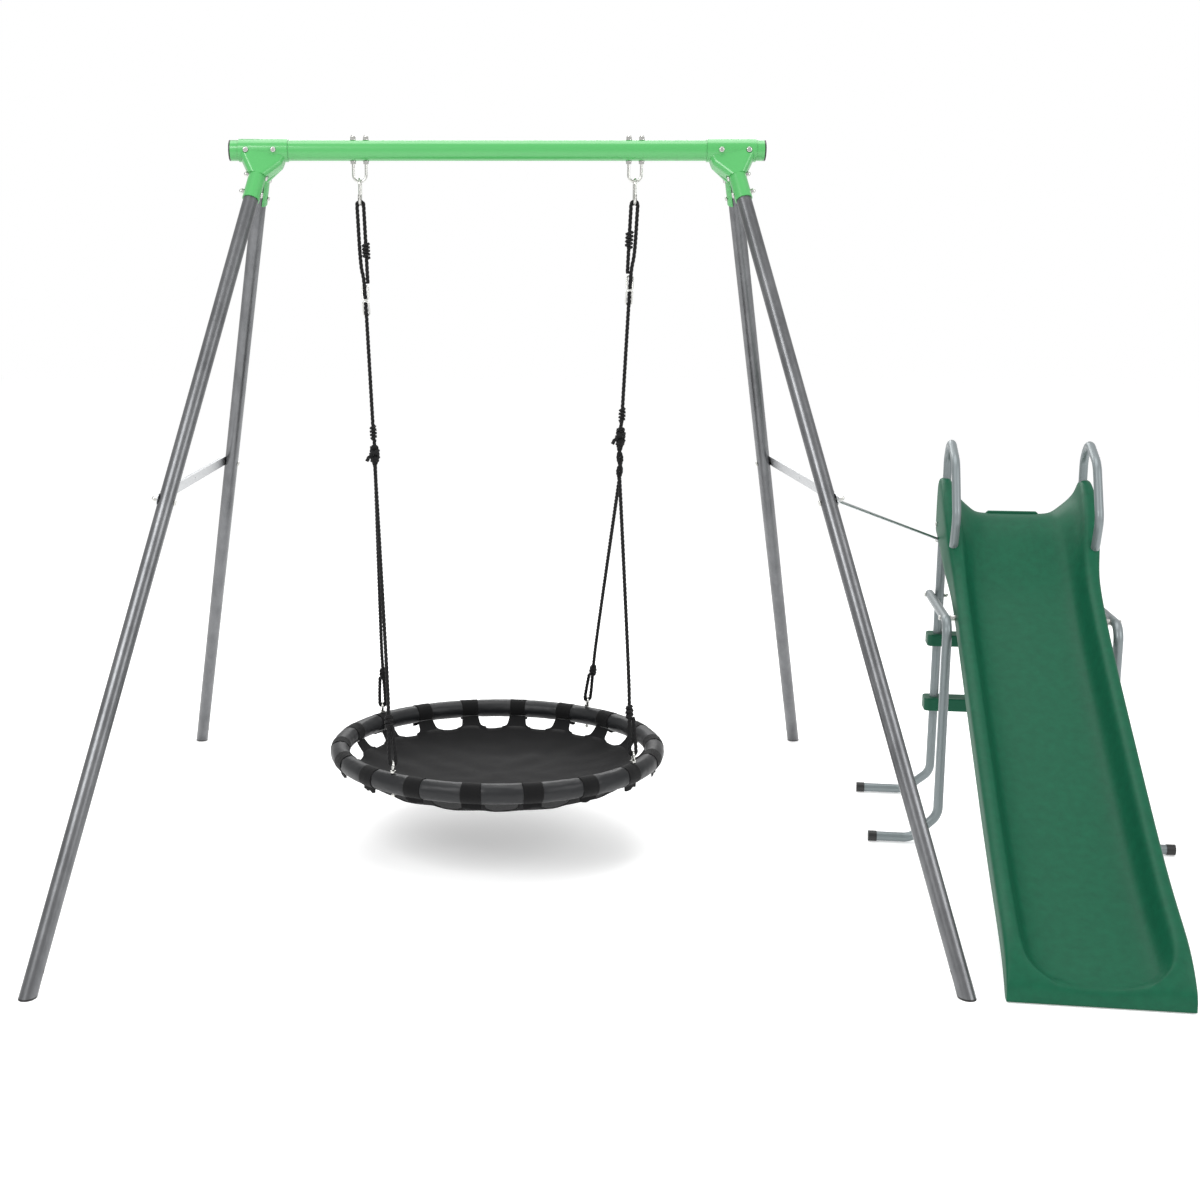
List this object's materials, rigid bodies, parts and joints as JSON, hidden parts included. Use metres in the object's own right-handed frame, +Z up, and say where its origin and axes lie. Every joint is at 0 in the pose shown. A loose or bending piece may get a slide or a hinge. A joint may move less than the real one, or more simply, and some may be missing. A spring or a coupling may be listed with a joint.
{
  "type": "swing set with nest seat and slide",
  "caption": "Garden play set: a splayed tubular frame carries a round nest seat on twisted ropes, with a free-standing slide joined to its side by a tie rod.",
  "frame": {"origin": "on the ground, under the middle of the whole set's bounding box", "axes": "+X along the crossbeam towards the slide, -Y to the front, +Z up"},
  "size_m": [3.2104, 2.3752, 2.0735],
  "materials": {
    "green_powder_coat": "gloss powder coat",
    "black_plastic": "satin moulded",
    "leg_steel": "satin metallic grey coat",
    "brace_steel": "zinc plated, pressed",
    "zinc_hardware": "bright zinc plate",
    "slide_plastic": "fine grained satin",
    "step_plastic": "fine grained satin",
    "slide_frame_steel": "satin grey powder coat",
    "rope": "three-strand twisted",
    "rim_steel": "bare",
    "rim_vinyl": "satin vinyl over foam",
    "strap_webbing": "woven",
    "mat_fabric": "woven, coated"
  },
  "bodies": {
    "frame": {"crossbeam": "green_powder_coat", "beam_end_caps": "black_plastic", "left_bracket_front": "green_powder_coat", "left_bracket_back": "green_powder_coat", "right_bracket_front": "green_powder_coat", "right_bracket_back": "green_powder_coat", "beam_bolts": "zinc_hardware", "socket_bolts": "zinc_hardware", "front_left_leg_upper": "leg_steel", "back_left_leg_upper": "leg_steel", "front_right_leg_upper": "leg_steel", "back_right_leg_upper": "leg_steel", "front_left_leg_lower": "leg_steel", "back_left_leg_lower": "leg_steel", "front_right_leg_lower": "leg_steel", "back_right_leg_lower": "leg_steel", "leg_foot_caps": "black_plastic", "side_braces": "brace_steel", "brace_bolts": "zinc_hardware", "u_bolts": "zinc_hardware", "u_bolt_lock_nuts": "zinc_hardware", "acorn_nuts": "zinc_hardware", "washers": "zinc_hardware", "slide_chute": "slide_plastic", "left_handrail": "slide_frame_steel", "right_handrail": "slide_frame_steel", "left_rail_upper": "slide_frame_steel", "right_rail_upper": "slide_frame_steel", "left_rail_lower": "slide_frame_steel", "right_rail_lower": "slide_frame_steel", "left_support_upper": "slide_frame_steel", "right_support_upper": "slide_frame_steel", "left_support_lower": "slide_frame_steel", "right_support_lower": "slide_frame_steel", "slide_foot_caps": "black_plastic", "slide_bolts": "zinc_hardware", "steps": "step_plastic", "tie_rod": "brace_steel"},
    "left_hook": {"left_snap_hook": "zinc_hardware"},
    "right_hook": {"right_snap_hook": "zinc_hardware"},
    "left_gate": {"left_hook_gate": "zinc_hardware"},
    "right_gate": {"right_hook_gate": "zinc_hardware"},
    "left_rope": {"left_main_rope": "rope", "left_rope_knots": "rope", "left_rope_adjuster": "zinc_hardware"},
    "right_rope": {"right_main_rope": "rope", "right_rope_knots": "rope", "right_rope_adjuster": "zinc_hardware"},
    "left_knot": {"left_seat_knot": "rope"},
    "right_knot": {"right_seat_knot": "rope"},
    "seat": {"front_left_seat_rope": "rope", "back_left_seat_rope": "rope", "front_right_seat_rope": "rope", "back_right_seat_rope": "rope", "seat_rope_knots": "rope", "seat_eye_bolts": "zinc_hardware", "rim_tube": "rim_steel", "rim_sleeve": "rim_vinyl", "seat_straps": "strap_webbing", "seat_mat": "mat_fabric"}
  },
  "joints": [
    {"name": "left_hook_swing", "type": "hinge", "parent": "frame", "child": "left_hook", "pos_m": [-0.86615, 0.03354, 1.945], "axis": [1, 0, 0], "range_deg": [-45, 45]},
    {"name": "right_hook_swing", "type": "hinge", "parent": "frame", "child": "right_hook", "pos_m": [-0.08915, 0.03354, 1.945], "axis": [1, 0, 0], "range_deg": [-45, 45]},
    {"name": "left_gate", "type": "hinge", "parent": "left_hook", "child": "left_gate", "pos_m": [-0.86615, 0.01554, 1.9043], "axis": [1, 0, 0], "range_deg": [-20, 0], "stiffness_Nm_per_rad": 0.08, "springref_deg": 1.15},
    {"name": "right_gate", "type": "hinge", "parent": "right_hook", "child": "right_gate", "pos_m": [-0.08915, 0.01554, 1.9043], "axis": [1, 0, 0], "range_deg": [-20, 0], "stiffness_Nm_per_rad": 0.08, "springref_deg": 1.15},
    {"name": "left_rope_sway", "type": "hinge", "parent": "left_hook", "child": "left_rope", "pos_m": [-0.86615, 0.03354, 1.8813], "axis": [0, 1, 0], "range_deg": [-5, 5]},
    {"name": "right_rope_sway", "type": "hinge", "parent": "right_hook", "child": "right_rope", "pos_m": [-0.08915, 0.03354, 1.8813], "axis": [0, 1, 0], "range_deg": [-5.6, 5.6]},
    {"name": "left_knot_turn", "type": "hinge", "parent": "left_rope", "child": "left_knot", "pos_m": [-0.83565, 0.03354, 1.2045], "axis": [0, 1, 0], "range_deg": [-5.6, 5.6]},
    {"name": "right_knot_turn", "type": "hinge", "parent": "right_rope", "child": "right_knot", "pos_m": [-0.11865, 0.03354, 1.2555], "axis": [0, 1, 0], "range_deg": [-6.2, 6.2]},
    {"name": "seat_tilt", "type": "hinge", "parent": "left_knot", "child": "seat", "pos_m": [-0.83465, 0.03354, 1.145], "axis": [0.9986, 0, -0.0531], "range_deg": [-10, 10]}
  ],
  "couplings": [
    {"joint": "right_hook_swing", "follows": "left_hook_swing", "ratio": 1},
    {"joint": "right_rope_sway", "follows": "left_rope_sway", "ratio": 1.0887},
    {"joint": "left_knot_turn", "follows": "left_rope_sway", "ratio": -1.0874},
    {"joint": "right_knot_turn", "follows": "left_rope_sway", "ratio": -1.1761}
  ]
}
